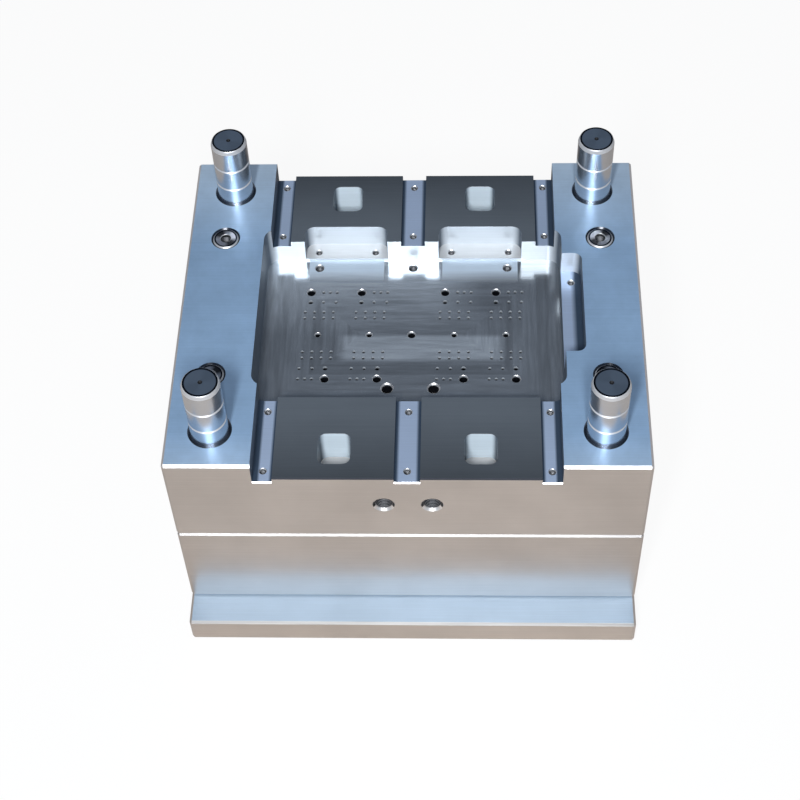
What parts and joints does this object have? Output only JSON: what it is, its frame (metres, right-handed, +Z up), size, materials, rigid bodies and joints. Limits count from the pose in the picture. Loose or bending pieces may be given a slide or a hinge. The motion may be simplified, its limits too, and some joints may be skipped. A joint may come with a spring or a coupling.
{
  "type": "mould base",
  "caption": "Moving half of an injection mould base: pocketed plate with guide pins on spacer blocks and a clamp plate, with a sliding ejector set.",
  "frame": {"origin": "centre of the clamp plate's underside, on the platen", "axes": "+X along the long side of the plates, +Y to the back, away from the water ports, +Z up out of the parting face, the way the mould opens"},
  "size_m": [0.35, 0.35, 0.262],
  "materials": {
    "plate_steel": "ground",
    "block_steel": "ground",
    "clamp_steel": "ground",
    "ejector_steel": "ground",
    "pin_steel": "hardened and polished",
    "button_steel": "hardened",
    "screw_steel": "black oxide"
  },
  "bodies": {
    "frame": {"b_plate": "plate_steel", "spacer_block_front": "block_steel", "spacer_block_back": "block_steel", "clamp_plate": "clamp_steel", "guide_pin_front_left": "pin_steel", "guide_pin_front_right": "pin_steel", "guide_pin_back_left": "pin_steel", "guide_pin_back_right": "pin_steel", "stop_button_front_left": "button_steel", "stop_button_front_right": "button_steel", "stop_button_back_left": "button_steel", "stop_button_back_right": "button_steel", "main_clamp_screws": "screw_steel", "spacer_block_screws": "screw_steel", "stop_button_screws": "screw_steel"},
    "ejector_set": {"ejector_retainer_plate": "ejector_steel", "ejector_base_plate": "ejector_steel", "return_pin_front_left": "pin_steel", "return_pin_front_right": "pin_steel", "return_pin_back_left": "pin_steel", "return_pin_back_right": "pin_steel", "ejector_plate_screws": "screw_steel"}
  },
  "joints": [
    {"name": "ejector_stroke", "type": "slide", "parent": "frame", "child": "ejector_set", "axis": [0, 0, 1], "range_m": [0, 0.0395]}
  ]
}
